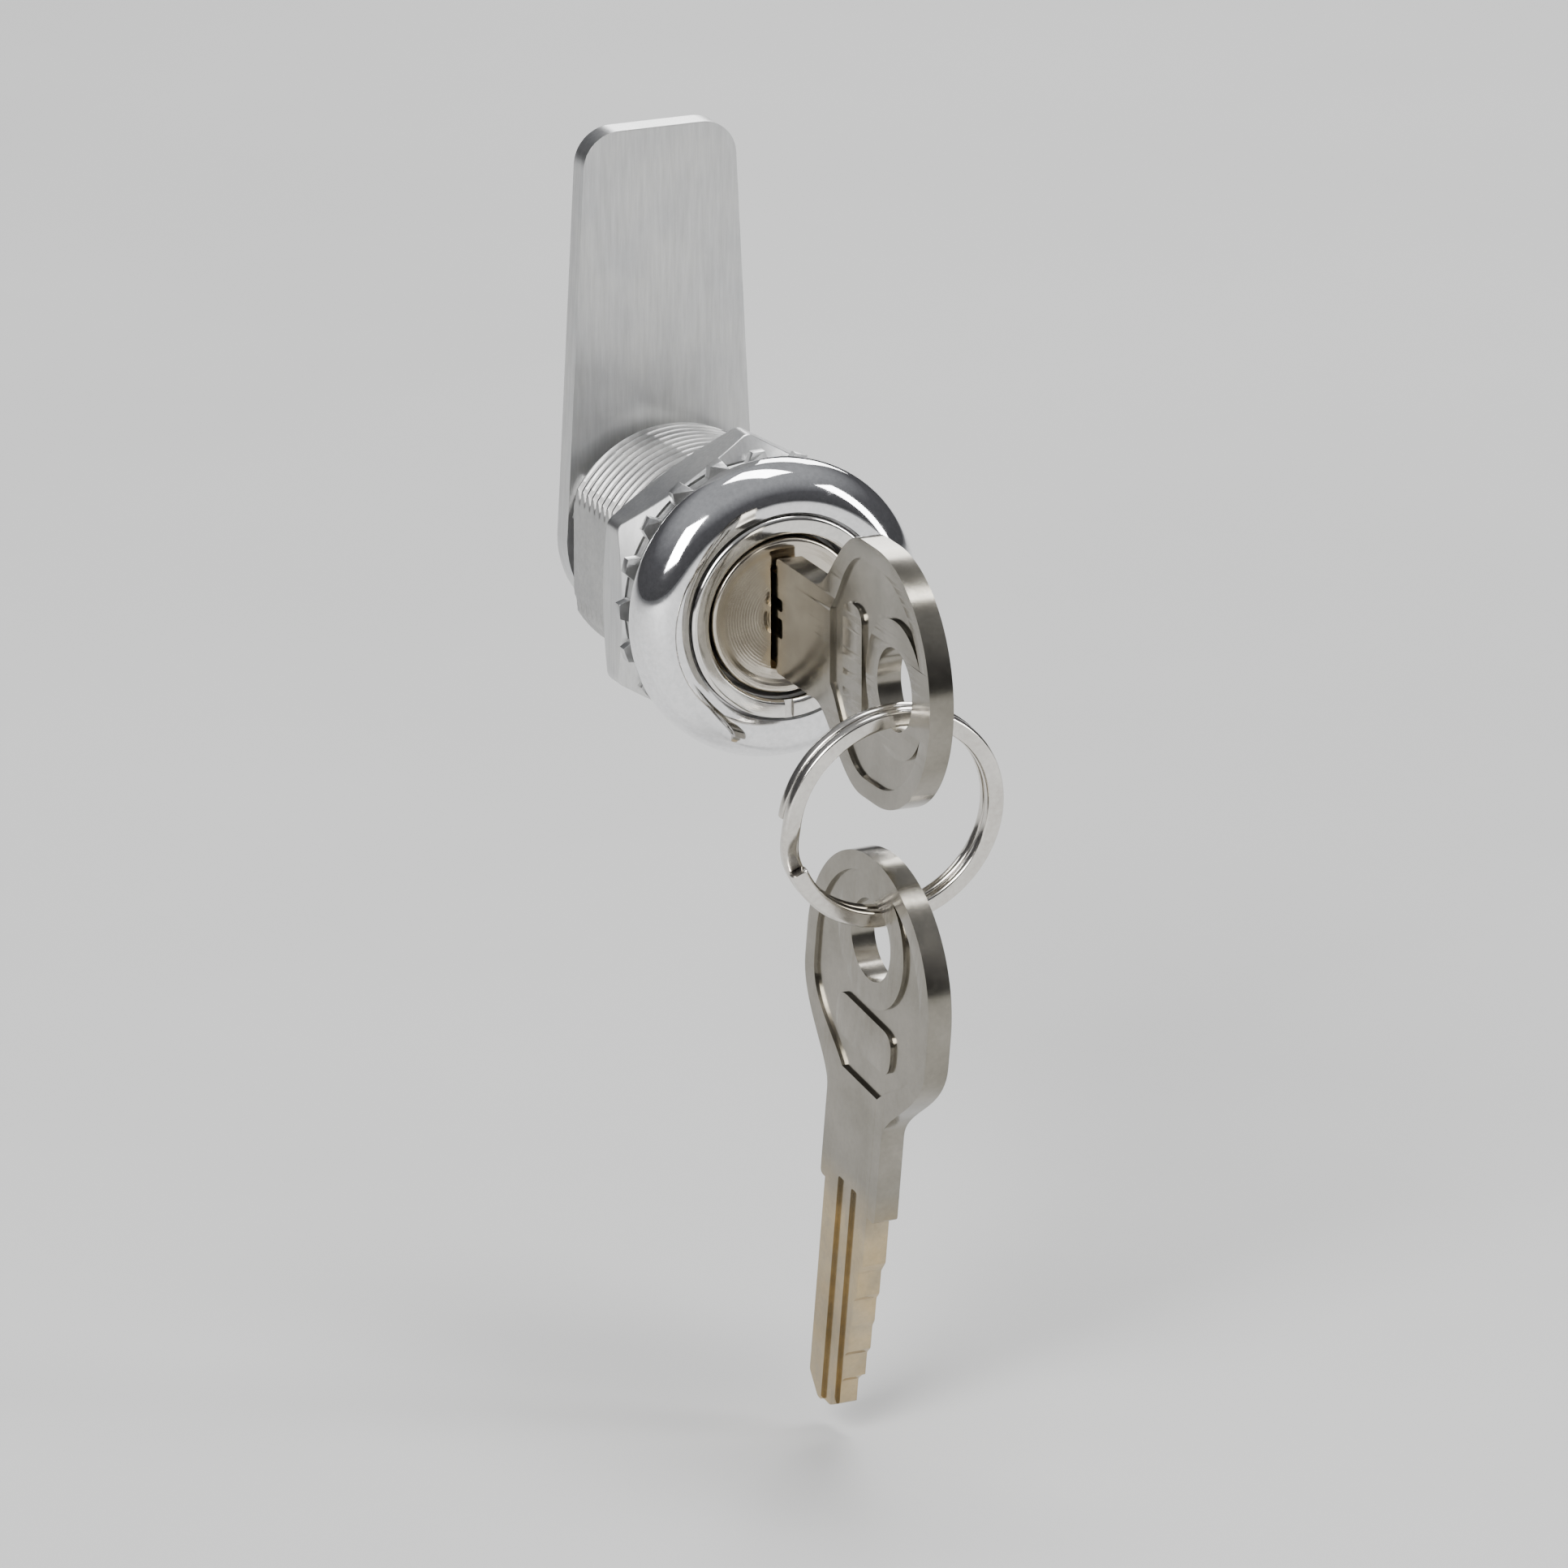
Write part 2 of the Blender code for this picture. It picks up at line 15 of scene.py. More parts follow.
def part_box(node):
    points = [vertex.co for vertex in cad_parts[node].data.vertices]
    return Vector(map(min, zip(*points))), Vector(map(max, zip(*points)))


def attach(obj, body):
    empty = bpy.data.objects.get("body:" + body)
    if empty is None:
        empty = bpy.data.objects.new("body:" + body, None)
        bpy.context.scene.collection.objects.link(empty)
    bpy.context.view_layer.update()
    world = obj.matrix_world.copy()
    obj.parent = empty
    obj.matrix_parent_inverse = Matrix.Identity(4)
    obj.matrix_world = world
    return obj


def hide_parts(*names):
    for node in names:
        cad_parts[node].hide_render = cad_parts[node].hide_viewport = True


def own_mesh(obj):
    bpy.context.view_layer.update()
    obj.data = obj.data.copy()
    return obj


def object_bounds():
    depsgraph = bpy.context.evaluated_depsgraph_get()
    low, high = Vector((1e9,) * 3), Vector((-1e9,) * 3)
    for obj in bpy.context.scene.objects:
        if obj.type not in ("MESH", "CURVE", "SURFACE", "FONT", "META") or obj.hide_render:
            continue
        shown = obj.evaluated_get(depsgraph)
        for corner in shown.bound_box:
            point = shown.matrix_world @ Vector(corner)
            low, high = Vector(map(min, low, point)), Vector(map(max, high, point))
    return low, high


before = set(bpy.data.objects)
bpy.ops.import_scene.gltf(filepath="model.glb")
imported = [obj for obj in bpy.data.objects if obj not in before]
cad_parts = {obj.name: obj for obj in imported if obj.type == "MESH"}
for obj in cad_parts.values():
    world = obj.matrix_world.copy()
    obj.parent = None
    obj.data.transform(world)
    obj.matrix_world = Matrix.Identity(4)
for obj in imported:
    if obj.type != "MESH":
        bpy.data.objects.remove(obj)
CAD_BOX = [list(corner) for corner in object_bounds()]

MM = 0.001
SHARP_DEG = 32
HOUSING_SHARP_DEG = 50


def node_box(node):
    """A CAD node's lowest and highest corner, in millimetres."""
    low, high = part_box(node)
    return Vector(low) / MM, Vector(high) / MM


BEZEL_LOW, BEZEL_HIGH = node_box("bezel_cover")
LIP_LOW, LIP_HIGH = node_box("face_ring")
FACE_LOW, FACE_HIGH = node_box("plug_face")
HOUSING_LOW, HOUSING_HIGH = node_box("housing")
WASHER_LOW, WASHER_HIGH = node_box("tooth_washer")
NUT_LOW, NUT_HIGH = node_box("mounting_nut")
STOP_LOW, STOP_HIGH = node_box("stop_washer")
CAM_LOW, CAM_HIGH = node_box("cam")
SPLIT_LOW, SPLIT_HIGH = node_box("cam_lock_washer")
SCREW_LOW, SCREW_HIGH = node_box("cam_screw")
RING_LOW, RING_HIGH = node_box("split_ring")
KEY_LOW, KEY_HIGH = node_box("inserted_key")

# Housing
HEAD_R = HOUSING_HIGH.z
HEAD_DEPTH = -HOUSING_LOW.y
BARREL_R = 9.5
BARREL_END = 20.0
FLAT_HALF = 8.1
BORE_R = 6.1
COUNTERBORE_R = 6.7
THREAD_PITCH = 1.0
THREAD_DEPTH = 0.55
THREAD_START = 0.6
THREAD_FADE = 0.8
BARREL_CHAMFER = 0.7
LUG_TOP = HOUSING_HIGH.y

# Front
BEZEL_R = BEZEL_HIGH.z
LIP_OUTER_R = LIP_HIGH.z
LIP_INNER_R = 6.7
FACE_R = FACE_HIGH.z
KEYHOLE_HALF_WIDTH = 1.3
KEYHOLE_HALF_HEIGHT = 4.2
BEZEL_RIM = 0.75
DOME_DEG = 98
MARK_HALF = 0.38
MARK_DEPTH = 0.28

# Shank hole in the cam and stop washer
SHANK_HALF = 3.1
CLEARANCE = 0.3

# Washer and nut
WASHER_TEETH = 20
TOOTH_DEPTH = 0.9
TOOTH_TWIST = 0.7
NUT_THREAD_DEPTH = 0.28
NUT_BORE_CHAMFER = 0.45
NUT_CHAMFER_DEG = 28

# Stop washer and the lugs that its tab meets
STOP_R = 6.5
TAB_HALF = 1.5
LUG_INNER_R = 6.9
LUG_OUTER_R = 8.0
LUG_DEG = 24

# Cam
CAM_TIP_HALF = 6.5
CAM_TIP_CORNER = 3.0

# Screw
SCREW_HEAD_HEIGHT = 2.6
SCREW_RIM = 1.0
SCREW_DOME = 1.6
SHANK_R = 1.85
SCREW_PITCH = 0.7
SCREW_THREAD = (0.28, 0.14, 0.0, 0.14)
CROSS_HALF = 0.4
CROSS_REACH = 1.9
CROSS_DEPTH = 1.4

# Wafer springs
SPRING_WIRE_R = 0.15
SPRING_TURNS = 5

# Key
KEY_THICK = KEY_HIGH.x - KEY_LOW.x
BLADE_LENGTH = 18.6
BLADE_SPINE = -3.6
BLADE_TOP = 3.6
CUT_TOPS = (3.0, 2.6, 2.3, 1.8, 1.2)
FIRST_CUT = 6.2
CUT_PITCH = 2.6
CUT_START = -0.9
CUT_END = 1.1
NECK_LENGTH = 7.5
NECK_LOW = -4.4
NECK_HIGH = 4.9
NECK_BEND = 10.0
BOW_BEND = 12.5
BOW_R = (KEY_HIGH.z - KEY_LOW.z) / 2
BOW_CENTRE = 19.2
BOW_SIDE_END = 16.5
BOW_Z = (KEY_LOW.z + KEY_HIGH.z) / 2
HOLE_R = 3.3
HOLE_FROM_SHOULDER = 22.8
SHOULDER_Y = KEY_LOW.y + BOW_CENTRE + BOW_R
HOLE_Y = SHOULDER_Y - HOLE_FROM_SHOULDER
FIELD_DEPTH = 0.3
FIELD_RIM = 1.5
EYELET_R = 5.5
BAR_FAR = -16.5
BAR_NEAR = -12.9
BAR_HALF = 4.6
GROOVES = ((-1.45, 0.15), (0.75, 1.75))
GROOVE_START = -1.2
GROOVE_DEPTH = 0.26

# Split ring and the key that hangs from it
RING_CENTRE = (RING_LOW + RING_HIGH) / 2
RING_OUTER_R = (RING_HIGH.x - RING_LOW.x) / 2
RING_WALL = 1.4
RING_WIDTH = 1.9
RING_TILT_DEG = 8.0
WIRE_IN_HOLE = 2.0
SPARE_TILT_DEG = 10.0
SPARE_YAW_DEG = 3.5
WIRE_START_DEG = 205.0
JOG_DEG = 30.0

# Camera and stage
VIEW_AZIMUTH = -23.4
VIEW_ELEVATION = 17.6
VIEW_DISTANCE = 1.51
FIELD_WIDTH = 0.122
SENSOR_WIDTH = 36.0
FLOOR_DROP = 0.0025
FLOOR_HALF = 4000


# Small helpers for outlines


def arc(centre, radius, start_deg, end_deg, count):
    """Points along an arc, both ends included."""
    angles = [math.radians(start_deg + (end_deg - start_deg) * k / count) for k in range(count + 1)]
    return [(centre[0] + radius * math.cos(t), centre[1] + radius * math.sin(t)) for t in angles]


def circle(radius, count, centre=(0.0, 0.0)):
    return arc(centre, radius, 0, 360, count)[:-1]


def bezier(a, b, c, d, count):
    """Points along a cubic curve, both ends included."""
    points = []
    for k in range(count + 1):
        t = k / count
        s = 1 - t
        weights = (s**3, 3 * s * s * t, 3 * s * t * t, t**3)
        points.append(tuple(sum(w * p[i] for w, p in zip(weights, (a, b, c, d))) for i in (0, 1)))
    return points


def rectangle(left, right, bottom, top):
    return [(left, bottom), (right, bottom), (right, top), (left, top)]


def filleted(outline, radius, steps=4):
    """The closed outline with every corner rounded by up to the given radius."""
    rounded = []
    count = len(outline)
    for k in range(count):
        corner = Vector(outline[k])
        before = Vector(outline[k - 1]) - corner
        after = Vector(outline[(k + 1) % count]) - corner
        if before.length < 1e-6 or after.length < 1e-6:
            rounded.append(tuple(corner))
            continue
        bend = before.angle(after)
        if bend > math.radians(172):
            rounded.append(tuple(corner))
            continue
        reach = min(radius / math.tan(bend / 2), 0.45 * before.length, 0.45 * after.length)
        start = corner + before.normalized() * reach
        end = corner + after.normalized() * reach
        for step in range(steps + 1):
            t = step / steps
            point = start * (1 - t) ** 2 + corner * 2 * t * (1 - t) + end * t * t
            rounded.append(tuple(point))
    return rounded


def clipped_square(half):
    """A square with its corners cut off, as on a milled shank."""
    inner = 0.8 * half
    return [
        (half, -inner), (half, inner), (inner, half), (-inner, half),
        (-half, inner), (-half, -inner), (-inner, -half), (inner, -half),
    ]


# Mesh makers


def at(axis, a, b, t):
    return {"X": (t, a, b), "Y": (a, t, b)}[axis]


def skin(section_at, segments):
    """A closed tube of quads round Y: section_at(angle) gives a closed loop of (radius, y)."""
    bm = bmesh.new()
    rings = []
    for k in range(segments):
        t = 2 * math.pi * k / segments
        loop = section_at(t)
        rings.append([bm.verts.new((r * math.sin(t), y, r * math.cos(t))) for r, y in loop])
    for ring, following in zip(rings, rings[1:] + rings[:1]):
        for k in range(len(ring)):
            n = (k + 1) % len(ring)
            bm.faces.new((ring[k], ring[n], following[n], following[k]))
    return bm


def turned(profile, segments=192):
    return skin(lambda angle: profile, segments)


def turned_solid(profile, segments=96):
    """A turned solid without a bore: both ends of the profile are capped."""
    bm = bmesh.new()
    angles = [2 * math.pi * k / segments for k in range(segments)]
    rings = [[bm.verts.new((r * math.sin(t), y, r * math.cos(t))) for t in angles] for r, y in profile]
    for ring, following in zip(rings, rings[1:]):
        for k in range(segments):
            n = (k + 1) % segments
            bm.faces.new((ring[k], ring[n], following[n], following[k]))
    bm.faces.new(rings[0])
    bm.faces.new(rings[-1])
    return bm


def plate(outline, low, high, axis, holes=()):
    """A flat plate: the outline less its holes, between two heights along an axis."""
    loops = [list(outline)] + [list(hole) for hole in holes]
    points = [point for loop in loops for point in loop]
    bm = bmesh.new()
    near = [bm.verts.new(at(axis, a, b, low)) for a, b in points]
    far = [bm.verts.new(at(axis, a, b, high)) for a, b in points]
    pieces = [range(len(points))]
    if holes:
        pieces = tessellate_polygon([[Vector((a, b, 0)) for a, b in loop] for loop in loops])
    for corners in pieces:
        bm.faces.new([near[k] for k in corners])
        bm.faces.new([far[k] for k in corners])
    start = 0
    for loop in loops:
        for k in range(len(loop)):
            i = start + k
            j = start + (k + 1) % len(loop)
            bm.faces.new((near[i], near[j], far[j], far[i]))
        start += len(loop)
    return bm


def swept(path, sections):
    """A tube through centre points; sections gives, for each, the loop of points around it."""
    bm = bmesh.new()
    rings = [[bm.verts.new(point) for point in sections(k)] for k in range(len(path))]
    for ring, following in zip(rings, rings[1:]):
        for s in range(len(ring)):
            n = (s + 1) % len(ring)
            bm.faces.new((ring[s], ring[n], following[n], following[s]))
    bm.faces.new(rings[0])
    bm.faces.new(rings[-1])
    return bm


def smooth(mesh, sharp_deg):
    """Smooth shading, apart from edges sharper than an angle."""
    mesh.shade_smooth()
    mesh.set_sharp_from_angle(angle=math.radians(sharp_deg))


def make_object(name, bm, sharp_deg=SHARP_DEG):
    """Link a mesh made in millimetres to the scene, in metres."""
    bmesh.ops.recalc_face_normals(bm, faces=bm.faces)
    mesh = bpy.data.meshes.new(name)
    bm.to_mesh(mesh)
    bm.free()
    mesh.transform(Matrix.Scale(MM, 4))
    obj = bpy.data.objects.new(name, mesh)
    bpy.context.collection.objects.link(obj)
    smooth(mesh, sharp_deg)
    return obj


def apply_modifiers(obj):
    """Turn an object's modifiers into its mesh."""
    bpy.context.view_layer.update()
    depsgraph = bpy.context.evaluated_depsgraph_get()
    mesh = bpy.data.meshes.new_from_object(obj.evaluated_get(depsgraph))
    old = obj.data
    obj.modifiers.clear()
    obj.data = mesh
    bpy.data.meshes.remove(old)


def boolean(obj, operation, bm):
    """Cut a tool from an object, or join it on, and drop the tool."""
    combine(obj, operation, make_object("tool", bm))


def combine(obj, operation, tool):
    """The same with a tool that is already an object."""
    modifier = obj.modifiers.new("boolean", "BOOLEAN")
    modifier.operation = operation
    modifier.solver = "EXACT"
    modifier.object = tool
    apply_modifiers(obj)
    bpy.data.objects.remove(tool, do_unlink=True)


def soften(obj, width, segments=3, angle_deg=30):
    """Round the hard edges by a width in millimetres, and keep flat faces shaded flat."""
    modifier = obj.modifiers.new("bevel", "BEVEL")
    modifier.width = width * MM
    modifier.segments = segments
    modifier.limit_method = "ANGLE"
    modifier.angle_limit = math.radians(angle_deg)
    modifier.use_clamp_overlap = True
    modifier.miter_outer = "MITER_ARC"
    apply_modifiers(obj)
    smooth(obj.data, SHARP_DEG)
    level = obj.modifiers.new("level", "WEIGHTED_NORMAL")
    level.keep_sharp = True
    level.weight = 100
    apply_modifiers(obj)


# Materials


class Nodes:
    """A material's node tree with short calls to add and link nodes."""

    def __init__(self, name):
        self.material = bpy.data.materials.new(name)
        self.material.use_nodes = True
        self.tree = self.material.node_tree
        self.shader = self.tree.nodes["Principled BSDF"]
        self.coords = self.tree.nodes.new("ShaderNodeTexCoord").outputs["Object"]

    def link(self, source, target):
        self.tree.links.new(source, target)

    def mapped(self, scale):
        """The object's coordinates, stretched."""
        node = self.tree.nodes.new("ShaderNodeMapping")
        node.inputs["Scale"].default_value = scale
        self.link(self.coords, node.inputs["Vector"])
        return node.outputs["Vector"]

    def noise(self, scale, detail=4.0, rough=0.55, stretch=(1, 1, 1), distortion=0.0):
        node = self.tree.nodes.new("ShaderNodeTexNoise")
        node.inputs["Scale"].default_value = scale
        node.inputs["Detail"].default_value = detail
        node.inputs["Roughness"].default_value = rough
        node.inputs["Distortion"].default_value = distortion
        self.link(self.mapped(stretch), node.inputs["Vector"])
        return node.outputs["Fac"]

    def ramp(self, source, stops):
        """A colour ramp; stops are (position, colour)."""
        node = self.tree.nodes.new("ShaderNodeValToRGB")
        ramp = node.color_ramp
        ramp.elements[0].position, ramp.elements[0].color = stops[0][0], (*stops[0][1], 1)
        ramp.elements[1].position, ramp.elements[1].color = stops[-1][0], (*stops[-1][1], 1)
        for position, colour in stops[1:-1]:
            ramp.elements.new(position).color = (*colour, 1)
        self.link(source, node.inputs["Fac"])
        return node.outputs["Color"]

    def spread(self, source, low, high, source_low=0.3, source_high=0.7):
        """A number carried from one range to another."""
        node = self.tree.nodes.new("ShaderNodeMapRange")
        for name, value in (
            ("From Min", source_low), ("From Max", source_high), ("To Min", low), ("To Max", high),
        ):
            node.inputs[name].default_value = value
        self.link(source, node.inputs["Value"])
        return node.outputs["Result"]

    def mix(self, factor, a, b, blend="MIX"):
        """Two colours mixed; a colour is a socket or three numbers."""
        node = self.tree.nodes.new("ShaderNodeMix")
        node.data_type = "RGBA"
        node.blend_type = blend
        for socket, value in ((node.inputs[0], factor), (node.inputs[6], a), (node.inputs[7], b)):
            if isinstance(value, bpy.types.NodeSocket):
                self.link(value, socket)
            elif isinstance(value, tuple):
                socket.default_value = (*value, 1)
            else:
                socket.default_value = value
        return node.outputs[2]

    def add(self, a, b, operation="ADD"):
        """The sum of two numbers, or their product."""
        node = self.tree.nodes.new("ShaderNodeMath")
        node.operation = operation
        for socket, value in ((node.inputs[0], a), (node.inputs[1], b)):
            if isinstance(value, bpy.types.NodeSocket):
                self.link(value, socket)
            else:
                socket.default_value = value
        return node.outputs[0]

    def crevice(self, distance):
        """0 deep in corners, 1 in the open."""
        node = self.tree.nodes.new("ShaderNodeAmbientOcclusion")
        node.samples = 8
        node.only_local = True
        node.inputs["Distance"].default_value = distance * MM
        return node.outputs["AO"]

    def corner_shaded(self, colour, shade_colour, share, reach, closed, opened):
        """The colour with a dark tint mixed in where corners are within reach, in millimetres: painted
        shade in corners, driven by ambient occlusion.
        """
        # Painted shade: the occlusion mask darkens the colour in corners and recesses
        open_air = self.spread(self.crevice(reach), 0.0, 1.0, closed, opened)
        return self.mix(open_air, self.mix(share, colour, shade_colour), colour)

    def finish(self, colour, rough, height, relief, distance):
        """Link a metal's colour and roughness, and its bumps of a distance in millimetres."""
        node = self.tree.nodes.new("ShaderNodeBump")
        node.inputs["Strength"].default_value = relief
        node.inputs["Distance"].default_value = distance * MM
        self.link(height, node.inputs["Height"])
        self.link(node.outputs["Normal"], self.shader.inputs["Normal"])
        self.link(colour, self.shader.inputs["Base Color"])
        self.link(rough, self.shader.inputs["Roughness"])
        self.shader.inputs["Metallic"].default_value = 1.0
        return self.material


def metal(name, light, dark, rough, relief, grain=(1, 1, 1), grain_scale=2500.0):
    """A plated or bare metal: cloudy tone, fine grain, scuffs, and painted shade darkening its
    corners.
    """
    nodes = Nodes(name)
    cloud = nodes.noise(220.0, detail=5.0)
    grain_noise = nodes.noise(grain_scale, detail=6.0, rough=0.65, stretch=grain)
    scuff = nodes.noise(900.0, detail=4.0, rough=0.6, stretch=(1, 0.25, 1.6), distortion=0.4)
    tone = nodes.ramp(cloud, [(0.35, dark), (0.65, light)])
    colour = nodes.mix(1.0, tone, nodes.spread(grain_noise, 0.86, 1.06), "MULTIPLY")
    # Painted shade: darker in corners where the occlusion mask finds nearby surfaces
    colour = nodes.corner_shaded(colour, (0.10, 0.085, 0.07), 0.75, 0.7, 0.35, 0.95)
    low, high = rough
    marks = nodes.spread(scuff, 0.0, 0.5 * (high - low) + 0.03, 0.5, 0.75)
    height = nodes.add(grain_noise, nodes.add(scuff, 0.4, "MULTIPLY"))
    return nodes.finish(colour, nodes.add(nodes.spread(cloud, low, high), marks), height, relief, 0.02)


def lathe_metal(name, light, dark, rough, ring_scale, relief):
    """A metal face with the fine concentric lines that turning leaves, round the Y axis."""
    nodes = Nodes(name)
    wave = nodes.tree.nodes.new("ShaderNodeTexWave")
    wave.wave_type = "RINGS"
    wave.rings_direction = "Y"
    wave.inputs["Scale"].default_value = ring_scale
    wave.inputs["Distortion"].default_value = 1.5
    wave.inputs["Detail"].default_value = 3.0
    wave.inputs["Detail Scale"].default_value = 2.0
    nodes.link(nodes.coords, wave.inputs["Vector"])
    cloud = nodes.noise(260.0, detail=5.0)
    scuff = nodes.noise(1100.0, detail=8.0, rough=0.75, distortion=1.5)
    tone = nodes.ramp(cloud, [(0.35, dark), (0.65, light)])
    # Painted shade: darker in corners where the occlusion mask finds nearby surfaces
    colour = nodes.corner_shaded(tone, (0.16, 0.13, 0.10), 0.6, 0.6, 0.4, 0.95)
    marks = nodes.spread(scuff, 0.0, 0.05, 0.5, 0.75)
    height = nodes.add(wave.outputs["Fac"], scuff)
    return nodes.finish(colour, nodes.add(nodes.spread(cloud, *rough), marks), height, relief, 0.015)


def worn_key_metal():
    """Nickel plate that has rubbed through to brass along the blade."""
    nodes = Nodes("nickel_key")
    cloud = nodes.noise(190.0, detail=5.0)
    grain = nodes.noise(2600.0, detail=6.0, rough=0.6)
    scuff = nodes.noise(700.0, detail=9.0, rough=0.78, distortion=1.3)
    attribute = nodes.tree.nodes.new("ShaderNodeAttribute")
    attribute.attribute_name = "along_blade"
    along = nodes.spread(attribute.outputs["Fac"], 0.0, 0.7, -2.5, 3.0)
    patch = nodes.spread(nodes.noise(420.0, detail=7.0), -0.3, 0.3, 0.35, 0.65)
    wear = nodes.add(along, nodes.add(patch, along, "MULTIPLY"))
    nickel = nodes.ramp(cloud, [(0.35, (0.24, 0.225, 0.19)), (0.65, (0.32, 0.30, 0.26))])
    brass = nodes.ramp(cloud, [(0.35, (0.49, 0.375, 0.205)), (0.65, (0.60, 0.475, 0.28))])
    colour = nodes.mix(wear, nickel, brass)
    colour = nodes.mix(1.0, colour, nodes.spread(grain, 0.92, 1.05), "MULTIPLY")
    # Painted shade: darker in grooves and recesses where the occlusion mask finds nearby surfaces
    colour = nodes.corner_shaded(colour, (0.10, 0.085, 0.065), 0.25, 0.35, 0.3, 0.9)
    marks = nodes.spread(scuff, 0.0, 0.05, 0.5, 0.72)
    height = nodes.add(grain, nodes.add(scuff, 0.8, "MULTIPLY"))
    return nodes.finish(colour, nodes.add(nodes.spread(cloud, 0.15, 0.20), marks), height, 0.12, 0.02)


# Roughness stays on one side of 0.27 in each metal, because the denoiser smears a mixture
MATERIALS = {
    "chrome": metal("chrome", (0.93, 0.93, 0.94), (0.88, 0.88, 0.89), (0.035, 0.075), 0.02),
    "lip_chrome": metal("lip_chrome", (0.90, 0.88, 0.84), (0.82, 0.80, 0.76), (0.07, 0.14), 0.05),
    "nickel_face": lathe_metal(
        "nickel_face", (0.72, 0.67, 0.58), (0.60, 0.55, 0.47), (0.13, 0.20), 1400.0, 0.22,
    ),
    "nickel_key": worn_key_metal(),
    "ring_nickel": metal("ring_nickel", (0.80, 0.77, 0.72), (0.68, 0.65, 0.60), (0.12, 0.19), 0.10),
    "zinc": metal("zinc", (0.56, 0.56, 0.55), (0.43, 0.43, 0.43), (0.34, 0.50), 0.30),
    "plated_steel": metal(
        "plated_steel", (0.68, 0.68, 0.67), (0.61, 0.615, 0.62), (0.31, 0.36), 0.06,
        grain=(5, 5, 0.35), grain_scale=700.0,
    ),
    "spring_steel": metal("spring_steel", (0.52, 0.52, 0.53), (0.38, 0.38, 0.40), (0.30, 0.38), 0.12),
    "brass": metal("brass", (0.80, 0.62, 0.31), (0.64, 0.47, 0.22), (0.30, 0.40), 0.18),
}


def finish_piece(obj, body, material, slot, *nodes):
    """Give a piece its material, its body and the CAD nodes that it stands for."""
    obj.data.materials.clear()
    obj.data.materials.append(MATERIALS[material])
    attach(obj, body)
    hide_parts(*nodes)
    return obj


# The fixed lock body


def thread_height(phase):
    """The thread's profile over one turn: 0 at the root and 1 at the crest."""
    t = phase % 1.0
    return max(0.0, min(1.0, 1.45 - abs(t - 0.5) * 3.4))


def barrel_section(angle):
    """The housing's closed section at an angle: threaded outside, plain bore inside."""
    loop = [
        (COUNTERBORE_R, -HEAD_DEPTH),
        (HEAD_R - 0.75, -HEAD_DEPTH),
        (HEAD_R - 0.2, -HEAD_DEPTH + 0.2),
        (HEAD_R, -HEAD_DEPTH + 0.75),
        (HEAD_R, 0.0),
    ]
    limit = FLAT_HALF / max(abs(math.sin(angle)), 1e-6)
    rows = 180
    for k in range(rows + 1):
        y = (BARREL_END - 0.02) * k / rows
        depth = 0.0
        if y > THREAD_START:
            fade = min(1.0, (y - THREAD_START) / THREAD_FADE)
            depth = fade * THREAD_DEPTH * (1 - thread_height(y / THREAD_PITCH - angle / (2 * math.pi)))
        chamfer = max(0.0, y - (BARREL_END - BARREL_CHAMFER))
        radius = min(BARREL_R - depth, BARREL_R - chamfer)
        loop.append((min(radius, limit), y))
    loop += [
        (BORE_R + 0.25, BARREL_END),
        (BORE_R, BARREL_END - 0.25),
        (BORE_R, 0.0),
        (COUNTERBORE_R, 0.0),
    ]
    return loop


def rear_stops():
    """The two lugs that the stop washer's tab meets."""
    tab_deg = math.degrees(math.atan2(TAB_HALF + CLEARANCE, LUG_INNER_R)) + 0.5
    tools = []
    for start in (-90 + tab_deg, 180 - tab_deg - LUG_DEG):
        outline = arc((0, 0), LUG_OUTER_R, start, start + LUG_DEG, 12)
        outline += arc((0, 0), LUG_INNER_R, start + LUG_DEG, start, 12)
        tools.append(plate(outline, BARREL_END - 1.0, LUG_TOP, "Y"))
    return tools


def build_housing():
    housing = make_object("housing_fine", skin(barrel_section, 288), HOUSING_SHARP_DEG)
    for tool in rear_stops():
        boolean(housing, "UNION", tool)
    smooth(housing.data, HOUSING_SHARP_DEG)
    return finish_piece(housing, "lock_body", "zinc", "zinc", "housing")


def build_bezel():
    """The domed chrome ring, rolled in at its rim and at its mouth."""
    inner = LIP_OUTER_R + CLEARANCE
    depth = -BEZEL_LOW.y
    width = BEZEL_R - inner
    profile = [(BEZEL_R - 0.25, 0.0), (BEZEL_R - 0.08, -0.08), (BEZEL_R, -0.28)]
    dome_steps = 28
    for k in range(dome_steps + 1):
        t = math.radians(DOME_DEG * k / dome_steps)
        radius = inner + 0.35 + (width - 0.35) * math.cos(t)
        profile.append((radius, -BEZEL_RIM - (depth - BEZEL_RIM) * math.sin(t)))
    profile += [
        (inner, -depth + 0.35),
        (inner, LIP_HIGH.y),
        (HEAD_R - 0.6, LIP_HIGH.y),
        (HEAD_R + CLEARANCE, -HEAD_DEPTH + 0.6),
        (HEAD_R + CLEARANCE, 0.0),
    ]
    bezel = make_object("bezel_fine", turned(profile, 256))
    return finish_piece(bezel, "lock_body", "chrome", "chrome", "bezel_cover")


def build_lip():
    """The narrow ring round the plug, with its index mark at six o'clock."""
    front = LIP_LOW.y
    back = LIP_HIGH.y
    outline = [
        (LIP_INNER_R, back), (LIP_OUTER_R, back), (LIP_OUTER_R, front), (LIP_INNER_R, front),
    ]
    lip = make_object("lip_fine", turned(filleted(outline, 0.42, 6), 224))
    mark = rectangle(-MARK_HALF, MARK_HALF, -LIP_OUTER_R - 1, -LIP_INNER_R + 0.5)
    boolean(lip, "DIFFERENCE", plate(filleted(mark, 0.1), front - 1, front + MARK_DEPTH, "Y"))
    smooth(lip.data, SHARP_DEG)
    return finish_piece(lip, "lock_body", "lip_chrome", "chrome", "face_ring")


